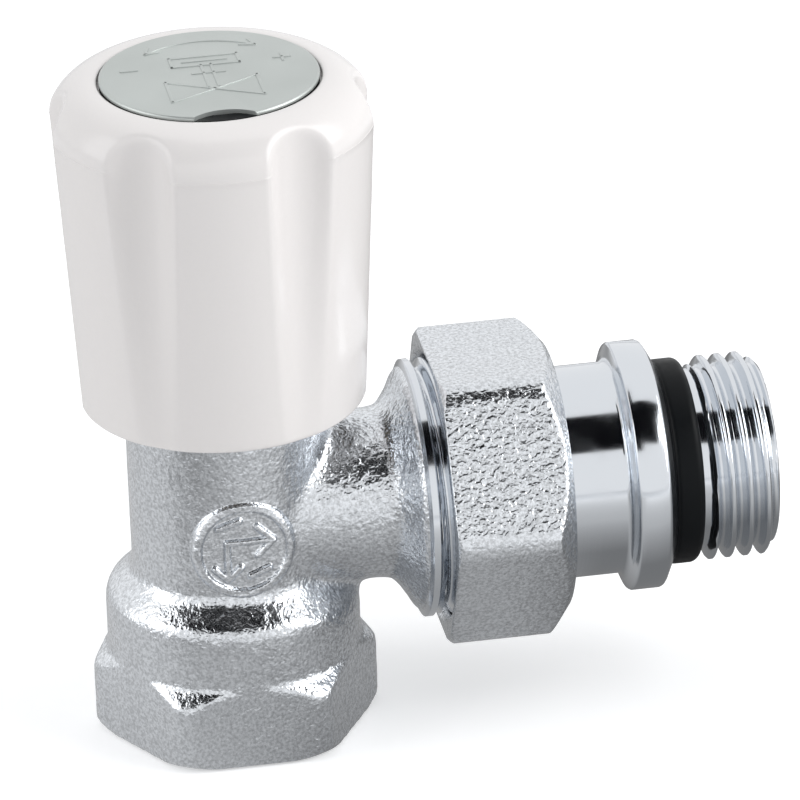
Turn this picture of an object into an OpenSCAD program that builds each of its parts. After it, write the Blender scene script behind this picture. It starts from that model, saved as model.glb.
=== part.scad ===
// Angle radiator valve: a forged body with a threaded inlet below and a union outlet at the side,
// a headwork with a rising stem, a fluted handwheel and a union tailpiece that screws into a radiator.
// The inlet mouth is centred on the origin and faces down; the valve axis is Z and the outlet axis is X.

/* [Pipe inlet] */
// Bore of the inlet thread, its minor diameter (G 1/2)
inlet_bore_d = 18.631; // [15:0.001:24.2]
// Depth of the inlet thread
inlet_depth = 11.5; // [8:0.1:15]
// Wall between the inlet thread and the flats of the hexagon
inlet_flat_wall = 3.68; // [2.5:0.01:6]
// Height of the full corners of the inlet hexagon
inlet_hex_h = 6.4; // [4:0.1:9]
// Height of the turned chamfer over the hexagon
inlet_chamfer_h = 2.2; // [1:0.1:3]
// Metal over the end of the inlet thread, where the body starts to neck in
inlet_cover = 2.7; // [1.5:0.1:5]

/* [Seat and outlet] */
// Bore through the seat
seat_bore_d = 10; // [7:0.1:13]
// Width of the seat's raised land
seat_land = 1; // [0.6:0.1:2]
// Web between the inlet thread and the seat
seat_web = 4.5; // [3:0.1:8]
// Step from the seat up to the bottom of the outlet bore
outlet_step = 1.13; // [0.5:0.01:4]
// Bore of the outlet branch
outlet_bore_d = 12; // [8:0.1:14]
// Wall of the outlet branch
outlet_wall = 2.73; // [2:0.01:4]
// Distance from the valve axis to the flare of the outlet branch
branch_reach = 16; // [13:0.1:24]
// Length of the flare
flare_l = 2.9; // [2:0.1:6]
// Width of the turned ring beside the union thread
stop_ring_w = 0.75; // [0.4:0.05:2]
// Major diameter of the union thread (G 3/4)
union_thread_d = 26.441; // [22:0.001:34]
// Length of the union thread
union_thread_l = 8.85; // [7:0.05:14]
// Depth of the socket that takes the nose of the tailpiece
socket_depth = 5; // [4:0.1:7]

/* [Neck and flow mark] */
// Wall of the neck round the headwork thread
neck_wall = 1.75; // [1.2:0.01:4]
// Height of the neck over the outlet axis
neck_over_axis = 14.87; // [13:0.01:24]
// Height of the shoulder between the inlet and the neck
shoulder_h = 4.2; // [3:0.1:7]
// Radius of the raised ring on the front of the body
mark_r = 5.2; // [3:0.1:6]
// Width of that ring
mark_rim = 0.6; // [0.4:0.1:1.2]
// How far the ring stands proud of the neck
mark_proud = 0.35; // [0.2:0.05:1]

/* [Headwork] */
// Length of the headwork thread
bonnet_thread_l = 8.5; // [6:0.1:12]
// Height of the headwork's hexagon
bonnet_hex_h = 5; // [3:0.1:8]
// Height of the barrel that holds the gland
gland_depth = 6; // [4:0.1:9]
// Height of the gland nut's hexagon
gland_hex_h = 2.5; // [1.5:0.1:4]
// Thickness of the anti-friction washer
gland_washer_t = 1.5; // [0.8:0.1:2.5]
// Diameter of the smooth stem
stem_d = 8; // [6:0.1:9]
// Depth of the stem's thread below the smooth stem's surface
stem_thread_proud = 1; // [0.5:0.1:1.6]
// Length of the stem's thread
stem_thread_l = 7.5; // [5:0.1:8]
// How far the stem and the obturator rise when the valve is fully open
lift = 4.5; // [3:0.1:5]
// Thickness of each O-ring
o_ring_t = 1.2; // [0.8:0.1:1.6]

/* [Obturator] */
// Thickness of the soft seat washer
seat_washer_t = 2; // [1:0.1:3]
// Height of the obturator over the seat washer
obturator_h = 4.45; // [4:0.05:6]
// Rim of the obturator round the seat washer
obturator_rim = 0.65; // [0.4:0.05:1.2]
// Radius of the stem's button end
button_r = 2.6; // [2:0.1:3]
// Radius of the neck over the button
button_neck_r = 1.9; // [1.2:0.1:2.2]
// Thickness of the button
button_t = 1.2; // [0.8:0.1:1.6]
// Thickness of the horseshoe clip
clip_t = 0.7; // [0.4:0.1:1]

/* [Handwheel] */
// Height of the handwheel
knob_h = 34.43; // [28:0.01:46]
// How far the handwheel's skirt comes down over the neck
skirt_overlap = 2; // [0.5:0.1:5]
// Gap between the headwork's hexagon and the skirt
skirt_gap = 1.465; // [0.6:0.005:4]
// Wall of the skirt at its lower edge
skirt_wall = 2.11; // [1.2:0.01:3]
// How much wider the handwheel is at its widest than at its lower edge, which is also the flutes' depth
flute_depth = 1.93; // [0.8:0.01:3]
// Radius of the cutter that makes a flute
flute_r = 4.8; // [3:0.05:6]
// Depth of a flute at the handwheel's lower edge
flute_run_out = 0.1; // [0.05:0.05:0.5]
// Number of flutes
flutes = 6; // [4:1:8]
// Wall of the hub round the splined insert
hub_wall = 2.2; // [1.5:0.1:3.5]
// Thickness of the ribs between the hub and the skirt
rib_t = 1.4; // [0.8:0.1:2]
// Height of the rounded shoulder over the widest place
knob_shoulder_h = 4.17; // [3:0.01:12]
// Width of the handwheel's rim round the cover disc
knob_rim_w = 0.3; // [0.2:0.05:3]
// Diameter of the cover disc
disc_d = 22.1; // [18:0.1:25]
// Thickness of the cover disc
disc_t = 1.2; // [0.9:0.1:2]
// How far the disc stands proud of the handwheel's rim
disc_proud = 0.8; // [0:0.1:0.8]
// Depth of the crescent in the disc's front edge, where a blade lifts it
pry_depth = 1.7; // [0.8:0.1:2]
// Radius of that crescent
pry_r = 4.62; // [3:0.01:6]
// Length of the disc's snap lip
disc_lip_h = 2.6; // [1.5:0.1:4]
// Length of the splined insert
insert_l = 8; // [6:0.1:12]
// Radius of the splined insert
insert_r = 5; // [4.6:0.1:6.5]
// Width across the stem's square end
square_w = 5.6; // [4:0.1:5.6]
// Diameter of the handwheel screw
wheel_screw_d = 3.2; // [2.5:0.1:4]

/* [Union nut] */
// Wall between the union thread and the flats of the nut
nut_wall = 1.28; // [1:0.01:4]
// Gap between the turned ring and the nut
nut_gap = 1.3; // [0.5:0.1:3]
// Thickness of the nut's inner shoulder
nut_shoulder_t = 3.2; // [2:0.1:6]
// Length of the turned chamfer on the nut's outer end
nut_chamfer_l = 2.3; // [1:0.1:3]
// Radius by which that chamfer takes the end face in from the flats
nut_face_in = 0.9; // [0.5:0.1:3]

/* [Tailpiece] */
// Depth of the nut's inner shoulder, from the union thread's crest to the tail's barrel
tail_step = 2.35; // [2:0.01:4]
// Step from the tail's barrel down to its nose
nose_step = 0.72; // [0.6:0.01:1.5]
// Bore of the tailpiece
tail_bore_d = 12.4; // [8:0.1:13]
// Length of the barrel between the nut and the collar
barrel_l = 6; // [5.6:0.1:14]
// Width of the collar's hollowed inner side
collar_cone_l = 0.75; // [0.3:0.05:2]
// Width of the collar's rim
collar_w = 3.2; // [2:0.1:6]
// Height of the collar over the radiator thread
collar_proud = 2.29; // [1:0.01:5]
// Width of the radiator seal
seal_w = 3; // [2:0.1:5]
// How far the seal stands over the radiator thread
seal_proud = 0.08; // [0.02:0.01:0.4]
// Thickness of the seal
seal_t = 1.2; // [0.8:0.1:1.4]
// Major diameter of the radiator thread (G 1/2)
tail_thread_d = 20.955; // [20:0.001:30]
// Length of the full radiator thread
tail_thread_l = 6; // [5:0.1:16]
// Length of the thread's end chamfer
tail_chamfer = 1; // [0.5:0.1:2]
// Width across the flats of the key socket in the tail
key_af = 13; // [12.5:0.1:14]
// Depth of the key socket
key_depth = 10; // [6:0.1:16]

/* [Clearances] */
// Radial running clearance of every turning or sliding fit
run = 0.05; // [0.02:0.01:0.1]
// Gap in a joint that doesn't move
snug = 0.02; // [0.01:0.01:0.05]

/* [Hidden] */
$fn = 72;
e = 1; // how far a cutter runs past the face that it opens
corner_cut = 0.15; // how far a hexagon's corners are turned back
foot_in = 1.2; // width of the chamfer round the body's foot
foot_up = 0.9; // height of that chamfer
shoulder_inset = 0.03; // how far the bulge stays inside the hexagon's flats
bulge_round = 1; // rounding of the bulge
neck_fillet = 1.6; // fillet between the shoulder and the neck
flare_round = 0.72; // size of the flare's rounding
ring_chamfer = 0.5; // chamfer behind the turned ring
union_chamfer = 1; // chamfer on the end of the union thread
nut_edge = 0.7; // chamfer on the nut's inner end
seat_overlap = 0.2; // how far the seat washer reaches over the seat's land
seat_relief = 1; // depth of the moat round the seat's land
chamber_gap = 0.7; // gap between the obturator and the chamber's wall
bonnet_step = 0.8; // depth of the headwork thread outside the chamber
bonnet_flange = 1.1; // how far the flats of the headwork stand outside its thread
flange_groove = 0.3; // how much wider and deeper the sealing groove is than the ring in it
gland_wall = 1.95; // wall of the gland nut round the stem
gland_barrel = 1.6; // wall of the headwork's barrel round the gland
gland_flange = 2; // how far the corners of the gland nut stand outside its thread
groove_side = 0.1; // room on each side of an O-ring in its groove
ring_land = 0.6; // metal between the gland and the upper O-ring
stem_thread_low = 4; // how far the stem's thread hangs below the headwork
stem_thread_spare = 0.7; // unused thread over the stem's when it is fully up
stem_neck = 0.8; // how much thinner the stem is between the obturator and its thread
wheel_gap = 0.5; // gap between the gland nut and the hub
square_short = 0.4; // how far the square ends below the insert's top
button_floor = 1.85; // metal between the seat washer and the stem's button
clip_gap = 0.1; // gap between the button and the clip
clip_wall = 1.9; // width of the clip outside the button
washer_screw_r = 1.5; // radius of the screw that holds the seat washer
washer_head_r = 2.8; // radius of its head
washer_head_t = 1; // thickness of its head
washer_slot_w = 0.7; // width of its slot
screw_washer_t = 0.8; // thickness of the washer under the handwheel's screw
screw_washer_in = 0.7; // how far that washer stays inside the insert
screw_head_h = 2.2; // height of that screw's head
screw_slot_w = 0.8; // width of the cross in it
screw_slot_deep = 1.2; // depth of the cross
disc_gap = 0.2; // gap round the cover disc, and the chamfer on its edge
disc_ledge = 1.45; // width of the ledge that the disc rests on
lip_wall = 0.9; // wall of the disc's snap lip
lip_gap = 0.1; // gap outside that lip
web_t = 2.5; // thickness of the web round the hub
edge_r = 0.6; // rounding of the handwheel's lower edge
rib_low = 1; // how far the ribs start above the hub's lower end
flute_turn = -5; // angle of the first flute from the outlet axis
insert_turn = 15; // angle of the splined insert
ring_w = 1.5; // width of the retaining ring
ring_back = 0.3; // distance from the union's face to that ring
ring_gap = 1.8; // gap in the ring where it springs open
ring_play = 0.1; // room inside the ring
ring_short = 0.9; // how far the ring stays inside the union thread's crest
tail_back = 0.1; // gap behind the nose of the tailpiece
nose_edge = 0.5; // chamfer on that nose
seal_step = 1.05; // distance from the collar's rim to the seal
seal_groove_out = 0.8; // relief between the seal and the radiator thread
tail_relief = 1; // depth of that relief and of the thread

// Radii and levels of the body
inlet_r = inlet_bore_d / 2;
hex_flat_r = inlet_r + inlet_flat_wall;
hex_corner_r = hex_flat_r / cos(30) - corner_cut;
seat_bore_r = seat_bore_d / 2;
seat_land_r = seat_bore_r + seat_land;
seat_washer_r = seat_land_r + seat_overlap;
obturator_r = seat_washer_r + snug + obturator_rim;
chamber_r = obturator_r + chamber_gap;
bonnet_thread_r = chamber_r + bonnet_step;
neck_r = bonnet_thread_r + neck_wall;
outlet_r = outlet_bore_d / 2;
branch_r = outlet_r + outlet_wall;
seat_z = inlet_depth + seat_web;
axis_z = seat_z + outlet_step + outlet_r;
body_top = axis_z + neck_over_axis;
bulge_top = inlet_depth + inlet_cover;
o_ring_r = o_ring_t / 2;

// Places along the outlet
union_r = union_thread_d / 2;
stop_ring_x = branch_reach + flare_l;
union_thread_x = stop_ring_x + stop_ring_w;
union_face_x = union_thread_x + union_thread_l;
tail_r = union_r - tail_step;
nose_r = tail_r - nose_step;
socket_r = nose_r + run;
socket_x = union_face_x - socket_depth;
ring_x = union_face_x + ring_back;
nut_x = union_thread_x + nut_gap;
nut_shoulder_x = ring_x + ring_w + run;
nut_end_x = nut_shoulder_x + nut_shoulder_t;
nut_flat_r = union_r + nut_wall;
nut_corner_r = nut_flat_r / cos(30) - corner_cut;
barrel_end_x = nut_end_x + barrel_l;
collar_x = barrel_end_x + collar_cone_l;
tail_thread_r = tail_thread_d / 2;
collar_r = tail_thread_r + collar_proud;
seal_x = collar_x + collar_w + seal_step;
seal_groove_r = tail_thread_r - seal_t;
tail_thread_x = seal_x + seal_w + seal_groove_out;
tail_end_x = tail_thread_x + tail_thread_l + tail_chamfer;

// Levels of the headwork, with the valve closed
stem_r = stem_d / 2;
stem_thread_r = stem_r + stem_thread_proud;
stem_bore_r = stem_r + run;
bonnet_z = body_top - bonnet_thread_l;
bonnet_flat_r = bonnet_thread_r + bonnet_flange;
bonnet_corner_r = bonnet_flat_r / cos(30);
bonnet_hex_top = body_top + bonnet_hex_h;
bonnet_top = bonnet_hex_top + gland_depth;
gland_thread_r = stem_bore_r + gland_wall;
barrel_r = gland_thread_r + gland_barrel;
gland_top = bonnet_top + gland_hex_h;
stem_thread_z = bonnet_z - stem_thread_low;
stem_smooth_z = stem_thread_z + stem_thread_l;
stem_thread_end_z = stem_smooth_z + lift + stem_thread_spare;
o_ring_groove_r = stem_bore_r + o_ring_t + snug;
square_z = gland_top + wheel_gap;
insert_top = square_z + insert_l;

// Levels of the obturator, with the valve closed
washer_z = seat_z + run;
obturator_z = washer_z + seat_washer_t;
obturator_top = obturator_z + obturator_h;
button_z = obturator_z + button_floor;
button_top = button_z + button_t;
clip_z = button_top + clip_gap;
clip_r = button_r + clip_wall;

// Sizes of the handwheel
skirt_r = bonnet_corner_r + skirt_gap;
knob_low_r = skirt_r + skirt_wall;
knob_r = knob_low_r + flute_depth;
knob_z = body_top - skirt_overlap;
knob_top = knob_z + knob_h;
disc_r = disc_d / 2;
recess_r = disc_r + disc_gap;
disc_top = knob_top + disc_proud;
disc_z = disc_top - disc_t;
rim_r = recess_r + knob_rim_w;
pocket_r = disc_r - disc_ledge;
web_z = insert_top - web_t;

// Points of an ellipse's arc about [x, y], from angle a0 to a1
function arc(x, y, rx, ry, a0, a1, n = 8) =
    [for (i = [0:n]) let (a = a0 + (a1 - a0) * i / n) [x + rx * cos(a), y + ry * sin(a)]];

// Turns a profile of [distance along, radius] about the outlet axis
module turn_x() {
    translate([0, 0, axis_z]) rotate([0, 90, 0])
        rotate_extrude() rotate([0, 0, 90]) mirror([0, 1]) children();
}

// A straight round bar along the outlet axis
module bar_x(x0, x1, r) {
    translate([x0, 0, axis_z]) rotate([0, 90, 0]) cylinder(r = r, h = x1 - x0);
}

// A round bar along the valve axis
module bar_z(z0, z1, r) {
    translate([0, 0, z0]) cylinder(r = r, h = z1 - z0);
}

// A ring of square section on the valve axis
module ring_z(z0, z1, r_in, r_out) {
    difference() {
        bar_z(z0, z1, r_out);
        bar_z(z0 - e, z1 + e, r_in);
    }
}

// An O-ring on the valve axis that lies between an inner and an outer wall
module o_ring_z(z, r_in) {
    translate([0, 0, z]) rotate_extrude() translate([r_in + o_ring_r, 0]) circle(r = o_ring_r, $fn = 32);
}

// Outside of the body: hexagon, bulge, shoulder, neck and union branch
module body_outside() {
    intersection() {
        cylinder(r = hex_corner_r + 1, h = inlet_hex_h + inlet_chamfer_h);
        rotate_extrude() polygon([
            [0, 0], [hex_corner_r - foot_in, 0], [hex_corner_r, foot_up], [hex_corner_r, inlet_hex_h],
            [hex_flat_r, inlet_hex_h + inlet_chamfer_h], [0, inlet_hex_h + inlet_chamfer_h]]);
        cylinder(r = hex_flat_r / cos(30), h = 3 * inlet_hex_h, $fn = 6);
    }
    rotate_extrude() polygon(concat(
        [[0, inlet_hex_h], [hex_flat_r - shoulder_inset, inlet_hex_h]],
        arc(hex_flat_r - shoulder_inset - bulge_round, bulge_top, bulge_round, bulge_round, 0, 60, 4),
        arc(neck_r + neck_fillet, bulge_top + shoulder_h, neck_fillet, 1.4 * neck_fillet, 250, 180, 5),
        [[neck_r, body_top], [0, body_top]]));
    turn_x() polygon([
        [0, 0], [0, branch_r], [branch_reach, branch_r],
        [branch_reach + flare_round, branch_r + 1.5 * flare_round],
        [branch_reach + 2.2 * flare_round, union_r - 3 * flare_round],
        [stop_ring_x - ring_chamfer, union_r - ring_chamfer],
        [stop_ring_x, union_r], [union_face_x - union_chamfer, union_r],
        [union_face_x, union_r - union_chamfer], [union_face_x, 0]]);
    translate([0, 0, axis_z]) rotate([90, 0, 0]) difference() {
        cylinder(r = mark_r, h = neck_r + mark_proud);
        translate([0, 0, neck_r]) cylinder(r = mark_r - mark_rim, h = mark_proud + e);
    }
}

// Chamber over the seat, with the seat's raised land left standing
module chamber() {
    difference() {
        bar_z(seat_z - seat_relief, bonnet_z + e, chamber_r);
        bar_z(seat_z - seat_relief - e, seat_z, seat_land_r);
    }
}

module valve_body() {
    color("silver") difference() {
        body_outside();
        bar_z(-e, inlet_depth, inlet_r);
        bar_z(inlet_depth - e, seat_z + e, seat_bore_r);
        chamber();
        bar_z(bonnet_z, body_top + e, bonnet_thread_r + snug);
        bar_z(body_top - o_ring_t - flange_groove, body_top + e, bonnet_thread_r + flange_groove);
        bar_x(0, socket_x + e, outlet_r);
        bar_x(socket_x, union_face_x + e, socket_r);
    }
}

module bonnet() {
    color("goldenrod") difference() {
        union() {
            bar_z(bonnet_z, body_top, bonnet_thread_r);
            intersection() {
                translate([0, 0, body_top]) cylinder(r = bonnet_corner_r, h = bonnet_hex_h, $fn = 6);
                rotate_extrude() polygon([
                    [0, body_top], [bonnet_corner_r, body_top], [bonnet_corner_r, bonnet_hex_top - 0.8],
                    [bonnet_flat_r, bonnet_hex_top], [0, bonnet_hex_top]]);
            }
            bar_z(bonnet_hex_top - e, bonnet_top, barrel_r);
        }
        bar_z(bonnet_z - e, stem_thread_end_z, stem_thread_r + run);
        bar_z(bonnet_z, bonnet_top, stem_bore_r);
        for (z = stem_o_ring_levels())
            bar_z(z - o_ring_r - groove_side, z + o_ring_r + groove_side, o_ring_groove_r);
        bar_z(bonnet_hex_top, bonnet_top + e, gland_thread_r + snug);
        ring_z(body_top - o_ring_t - flange_groove, body_top,
               bonnet_thread_r + flange_groove - o_ring_t - 2 * snug, bonnet_thread_r + e);
    }
}

// The two O-rings stand between the end of the stem's thread and the gland
function stem_o_ring_levels() =
    [for (i = [0, 1]) bonnet_hex_top - ring_land - o_ring_r - i * (o_ring_t + ring_land + 2 * groove_side)];

module bonnet_o_ring() {
    color("dimgray")
        o_ring_z(body_top - o_ring_r - flange_groove / 2, bonnet_thread_r + flange_groove - snug - o_ring_t);
}

module stem_o_rings() {
    color("dimgray") for (z = stem_o_ring_levels()) o_ring_z(z, stem_bore_r + snug / 2);
}

module gland_washer() {
    color("white") ring_z(bonnet_hex_top, bonnet_hex_top + gland_washer_t, stem_bore_r, gland_thread_r);
}

module gland_nut() {
    color("goldenrod") difference() {
        union() {
            bar_z(bonnet_hex_top + gland_washer_t, bonnet_top, gland_thread_r);
            translate([0, 0, bonnet_top]) cylinder(r = gland_thread_r + gland_flange, h = gland_hex_h, $fn = 6);
        }
        bar_z(bonnet_hex_top, gland_top + e, stem_bore_r);
    }
}

module obturator_disc() {
    color("goldenrod") difference() {
        union() {
            bar_z(obturator_z, obturator_top, obturator_r);
            ring_z(washer_z + 1, obturator_z + 0.1, seat_washer_r + snug, obturator_r);
        }
        bar_z(obturator_z - e, obturator_z + 1.2, washer_screw_r + snug);
        bar_z(button_z - run, obturator_top + e, button_r + run);
        clip_slot();
    }
}

// Slot across the obturator, open on one side so that the clip slides in
module clip_slot() {
    translate([0, 0, clip_z - snug]) {
        cylinder(r = clip_r + snug, h = clip_t + 2 * snug);
        translate([-clip_r - snug, 0, 0]) cube([2 * (clip_r + snug), obturator_r + e, clip_t + 2 * snug]);
    }
}

module obturator_clip() {
    color("silver") difference() {
        bar_z(clip_z, clip_z + clip_t, clip_r);
        bar_z(clip_z - e, clip_z + clip_t + e, button_neck_r + run);
        translate([-button_neck_r - run, -clip_r - e, clip_z - e])
            cube([2 * (button_neck_r + run), clip_r + e, clip_t + 2 * e]);
    }
}

module seat_washer() {
    color("dimgray") ring_z(washer_z, obturator_z, washer_screw_r + snug, seat_washer_r);
}

module washer_screw() {
    color("goldenrod") difference() {
        union() {
            bar_z(washer_z - washer_head_t, washer_z, washer_head_r);
            bar_z(washer_z - washer_head_t, obturator_z + 1.15, washer_screw_r);
        }
        translate([-washer_head_r - e, -washer_slot_w / 2, washer_z - washer_head_t - e])
            cube([2 * (washer_head_r + e), washer_slot_w, e + washer_head_t / 2]);
    }
}

module stem() {
    color("goldenrod") difference() {
        union() {
            bar_z(button_z, button_top, button_r);
            bar_z(button_z, obturator_top + 0.5, button_neck_r);
            bar_z(obturator_top + clip_gap, stem_thread_z, stem_r - stem_neck);
            bar_z(stem_thread_z, stem_smooth_z, stem_thread_r);
            bar_z(stem_smooth_z, square_z, stem_r);
            // the square is milled from the stem, so its corners stay inside the stem's bore
            intersection() {
                translate([-square_w / 2, -square_w / 2, square_z - e])
                    cube([square_w, square_w, insert_l + e - square_short]);
                bar_z(square_z - 2 * e, insert_top + e, stem_r);
            }
        }
        bar_z(square_z, insert_top + e, wheel_screw_d / 2 + snug);
    }
}

// Outline of the handwheel's outside, from its lower edge to the top of its rim
function knob_outline() = concat(
    arc(knob_low_r - edge_r, knob_z + edge_r, edge_r, edge_r, 270, 360, 4),
    arc(rim_r, knob_top - knob_shoulder_h, knob_r - rim_r, knob_shoulder_h, 0, 90, 14));

// Outline of the handwheel's inside, from its rim down through the pocket and the hub to the skirt
function knob_inside() = [
    [recess_r, knob_top], [recess_r, disc_z], [pocket_r, disc_z],
    [pocket_r, insert_top], [insert_r - e, insert_top], [insert_r - e, square_z],
    [insert_r + hub_wall, square_z], [insert_r + hub_wall, web_z], [skirt_r, web_z], [skirt_r, knob_z]];

module handwheel() {
    color("white") union() {
        difference() {
            intersection() {
                rotate([0, 0, flute_turn + 180 / flutes]) rotate_extrude()
                    polygon(concat(knob_outline(), knob_inside()));
                translate([0, 0, knob_z - e]) linear_extrude(knob_h + 2 * e) difference() {
                    circle(r = knob_r + 2 * e);
                    for (i = [0:flutes - 1]) rotate(flute_turn + i * 360 / flutes)
                        translate([knob_low_r - flute_run_out + flute_r, 0]) circle(r = flute_r);
                }
            }
            translate([0, 0, square_z - e]) rotate([0, 0, insert_turn])
                cylinder(r = insert_r + snug, h = insert_l + 2 * e, $fn = 12);
        }
        for (i = [0:flutes - 1]) rotate([0, 0, flute_turn + (i + 0.5) * 360 / flutes])
            translate([insert_r + hub_wall / 2, -rib_t / 2, square_z + rib_low])
                cube([skirt_r + skirt_wall / 2 - insert_r - hub_wall / 2, rib_t,
                      web_z + web_t / 2 - square_z - rib_low]);
    }
}

module handwheel_insert() {
    color("goldenrod") difference() {
        translate([0, 0, square_z]) rotate([0, 0, insert_turn]) cylinder(r = insert_r, h = insert_l, $fn = 12);
        translate([-square_w / 2 - snug, -square_w / 2 - snug, square_z - e])
            cube([square_w + 2 * snug, square_w + 2 * snug, insert_l + 2 * e]);
    }
}

module screw_washer() {
    color("silver") ring_z(insert_top, insert_top + screw_washer_t,
                           wheel_screw_d / 2 + snug, insert_r - screw_washer_in);
}

module handwheel_screw() {
    head_z = insert_top + screw_washer_t;
    color("silver") difference() {
        union() {
            bar_z(square_z + e, head_z, wheel_screw_d / 2);
            rotate_extrude() polygon(concat(
                [[0, head_z - e], [wheel_screw_d / 2, head_z - e], [wheel_screw_d / 2, head_z]],
                arc(0, head_z, wheel_screw_d, screw_head_h, 0, 90, 8)));
        }
        for (a = [0, 90]) rotate([0, 0, a])
            translate([-wheel_screw_d / 2, -screw_slot_w / 2, head_z + screw_head_h - screw_slot_deep])
                cube([wheel_screw_d, screw_slot_w, screw_slot_deep + e]);
    }
}

module cover_disc() {
    color("lightgray") difference() {
        union() {
            rotate_extrude() polygon([
                [0, disc_z], [disc_r, disc_z], [disc_r, disc_top - disc_gap], [disc_r - disc_gap, disc_top],
                [0, disc_top]]);
            ring_z(disc_z - disc_lip_h, disc_z + disc_t / 2,
                   pocket_r - lip_gap - lip_wall, pocket_r - lip_gap);
        }
        translate([0, pry_depth - disc_r - pry_r, disc_z - e]) cylinder(r = pry_r, h = disc_t + 2 * e);
    }
}

module retaining_ring() {
    color("silver") difference() {
        bar_x(ring_x, ring_x + ring_w, union_r - ring_short);
        bar_x(ring_x - e, ring_x + ring_w + e, nose_r + ring_play);
        translate([ring_x - e, -ring_gap / 2, axis_z]) cube([ring_w + 2 * e, ring_gap, union_r]);
    }
}

module union_nut() {
    color("silver") difference() {
        intersection() {
            translate([nut_x, 0, axis_z]) rotate([0, 90, 0]) rotate([0, 0, 90])
                cylinder(r = nut_flat_r / cos(30), h = nut_end_x - nut_x, $fn = 6);
            turn_x() polygon([
                [nut_x, 0], [nut_x, nut_corner_r - nut_edge], [nut_x + nut_edge, nut_corner_r],
                [nut_end_x - nut_chamfer_l, nut_corner_r], [nut_end_x, nut_flat_r - nut_face_in],
                [nut_end_x, 0]]);
        }
        bar_x(nut_x - e, nut_shoulder_x, union_r + run);
        bar_x(nut_x, nut_end_x + e, tail_r + run);
    }
}

module tailpiece() {
    color("silver") difference() {
        turn_x() polygon([
            [socket_x + tail_back, 0], [socket_x + tail_back, nose_r - nose_edge],
            [socket_x + tail_back + nose_edge, nose_r],
            [union_face_x + run, nose_r], [union_face_x + run, tail_r],
            [ring_x - run, tail_r], [ring_x - run, nose_r],
            [ring_x + ring_w + run, nose_r], [ring_x + ring_w + run, tail_r],
            [barrel_end_x, tail_r], [collar_x, collar_r], [collar_x + collar_w, collar_r],
            [seal_x, seal_groove_r + 0.6], [seal_x, seal_groove_r],
            [seal_x + seal_w, seal_groove_r], [seal_x + seal_w, tail_thread_r - tail_relief],
            [tail_thread_x, tail_thread_r - tail_relief], [tail_thread_x, tail_thread_r],
            [tail_end_x - tail_chamfer, tail_thread_r], [tail_end_x, tail_thread_r - 1.15 * tail_relief],
            [tail_end_x, 0]]);
        // groove for the union O-ring
        turn_x() translate([union_o_ring_x() - o_ring_r - groove_side, nose_r - o_ring_t])
            square([o_ring_t + 2 * groove_side, 2 * o_ring_t]);
        bar_x(0, tail_end_x + e, tail_bore_d / 2);
        translate([tail_end_x - key_depth, 0, axis_z]) rotate([0, 90, 0])
            cylinder(r = key_af / 2 / cos(30), h = key_depth + e, $fn = 6);
    }
}

function union_o_ring_x() = union_face_x - socket_depth / 2;

module union_o_ring() {
    color("dimgray") turn_x()
        translate([union_o_ring_x(), nose_r - o_ring_r + snug / 2]) circle(r = o_ring_r - snug / 2, $fn = 32);
}

module radiator_seal() {
    seal_r = tail_thread_r + seal_proud;
    color("dimgray") turn_x() polygon(concat(
        [[seal_x + snug, seal_groove_r + snug], [seal_x + snug, seal_r - 0.35], [seal_x + 0.5, seal_r]],
        arc(seal_x + seal_w - 0.7 - snug, seal_r - 0.9, 0.7, 0.9, 90, 0, 5),
        [[seal_x + seal_w - snug, seal_groove_r + snug]]));
}

valve_body();
bonnet();
bonnet_o_ring();
stem_o_rings();
gland_washer();
gland_nut();
obturator_disc();
seat_washer();
washer_screw();
obturator_clip();
stem();
handwheel();
handwheel_insert();
screw_washer();
handwheel_screw();
cover_disc();
retaining_ring();
union_nut();
tailpiece();
union_o_ring();
radiator_seal();
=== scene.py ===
import math

import bmesh
import bpy
from mathutils import Matrix, Vector, noise


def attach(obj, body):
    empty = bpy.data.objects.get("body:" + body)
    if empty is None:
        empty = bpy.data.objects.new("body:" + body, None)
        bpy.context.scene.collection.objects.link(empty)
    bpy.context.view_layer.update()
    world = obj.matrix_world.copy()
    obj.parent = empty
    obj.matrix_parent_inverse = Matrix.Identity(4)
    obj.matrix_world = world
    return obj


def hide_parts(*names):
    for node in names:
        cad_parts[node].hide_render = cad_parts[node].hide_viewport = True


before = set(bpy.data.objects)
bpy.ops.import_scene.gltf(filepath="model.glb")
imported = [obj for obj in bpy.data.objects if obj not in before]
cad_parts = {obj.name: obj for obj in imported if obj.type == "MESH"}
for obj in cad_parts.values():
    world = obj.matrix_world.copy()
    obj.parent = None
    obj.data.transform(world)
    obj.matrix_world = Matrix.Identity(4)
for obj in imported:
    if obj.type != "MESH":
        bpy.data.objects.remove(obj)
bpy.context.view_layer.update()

# ---------------------------------------------------------------- camera
# A long lens a little above the valve, turned slightly to its left, so that the handwheel's top and the
# length of the tailpiece both show. The camera is rolled by two degrees.

MM = 0.001
AIM = Vector((18.03, 0.0, 33.15)) * MM
DISTANCE = 875.6 * MM
AZIMUTH = math.radians(-8.97)
ELEVATION = math.radians(25.37)
ROLL = math.radians(2.05)

back = Vector((math.sin(AZIMUTH) * math.cos(ELEVATION), -math.cos(AZIMUTH) * math.cos(ELEVATION),
               math.sin(ELEVATION)))
level_right = Vector((math.cos(AZIMUTH), math.sin(AZIMUTH), 0.0))
level_up = back.cross(level_right)
right = level_right * math.cos(ROLL) - level_up * math.sin(ROLL)
up = level_right * math.sin(ROLL) + level_up * math.cos(ROLL)

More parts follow.
